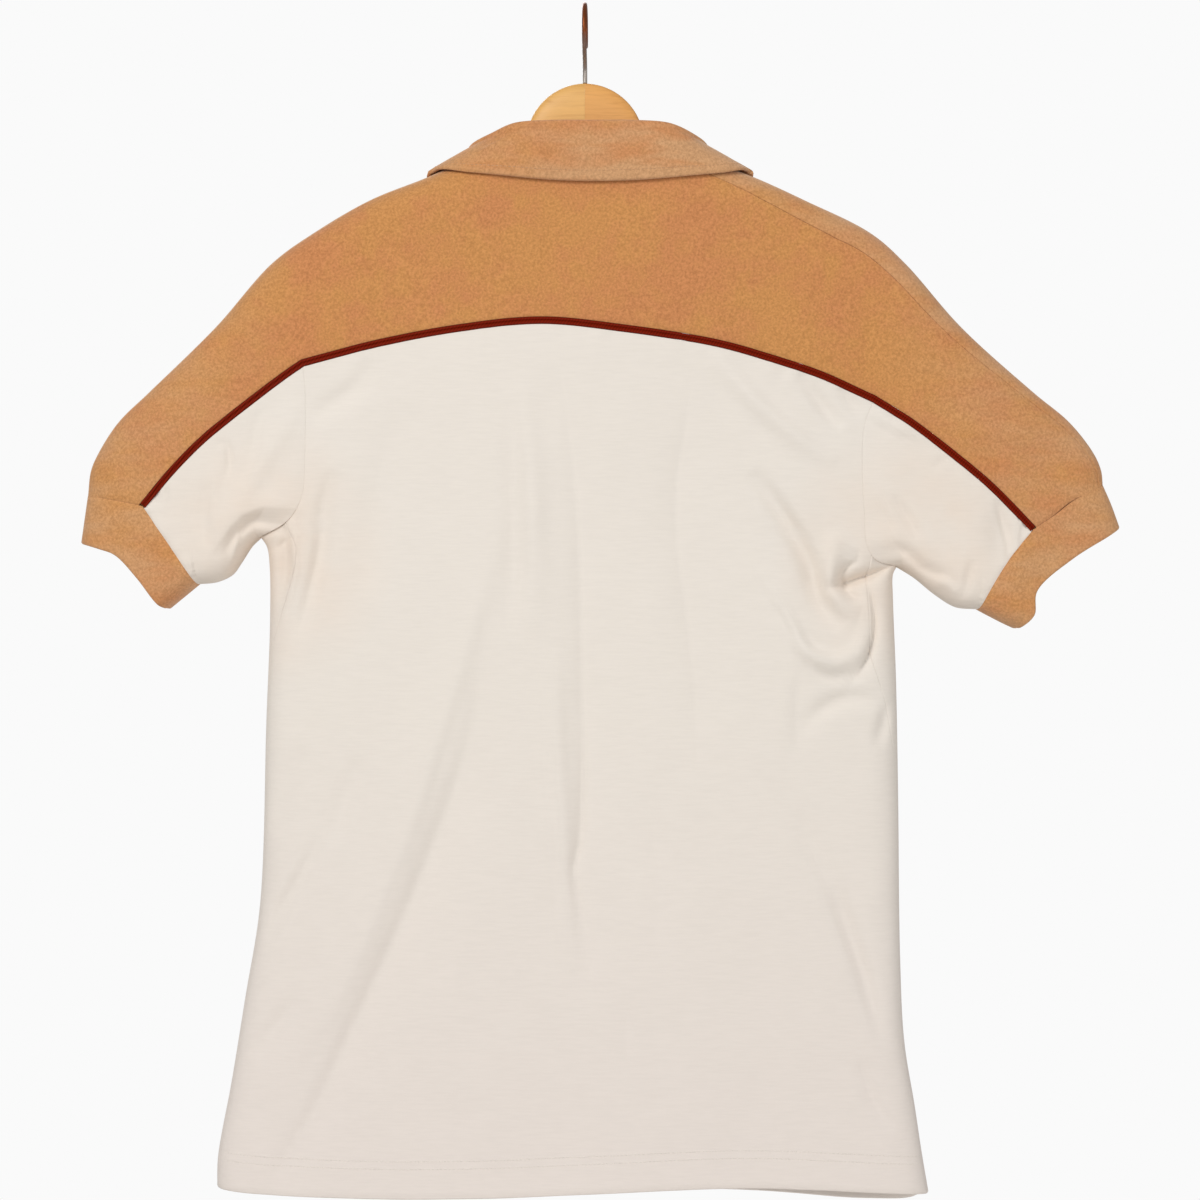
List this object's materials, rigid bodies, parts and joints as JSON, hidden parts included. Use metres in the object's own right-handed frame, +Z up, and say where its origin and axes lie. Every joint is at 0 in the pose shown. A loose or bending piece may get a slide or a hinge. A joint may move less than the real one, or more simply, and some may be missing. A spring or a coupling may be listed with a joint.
{
  "type": "polo shirt on a wooden hanger",
  "caption": "Short-sleeved polo shirt with a terry yoke, piped seams, placket and cuffs on a jersey body, hung flat on a contoured wooden hanger with a wire hook.",
  "frame": {"origin": "inside top of the hanger's hook, where a rod carries it", "axes": "+Z up, the shirt's front faces -Y, the wearer's left side is +X"},
  "size_m": [0.7463, 0.0789, 0.8588],
  "materials": {
    "terry": "caramel cotton terry, matte looped pile",
    "jersey": "cream cotton jersey, matte fine knit",
    "piping": "dark russet satin piping cord",
    "wood": "pale lacquered wood, satin",
    "button": "moulded brown plastic, glossy",
    "wire": "plain drawn steel wire"
  },
  "bodies": {
    "root": {"back_yoke": "terry", "front_yoke_left": "terry", "front_yoke_right": "terry", "back_body": "jersey", "front_body": "jersey", "under_sleeve_left": "jersey", "under_sleeve_right": "jersey", "cuff_left": "terry", "cuff_right": "terry", "collar": "terry", "placket": "terry", "button_1": "button", "button_2": "button", "button_3": "button", "piping_back": "piping", "piping_front_left": "piping", "piping_front_right": "piping", "hanger_left": "wood", "hanger_right": "wood", "hanger_hook": "wire"}
  },
  "joints": []
}
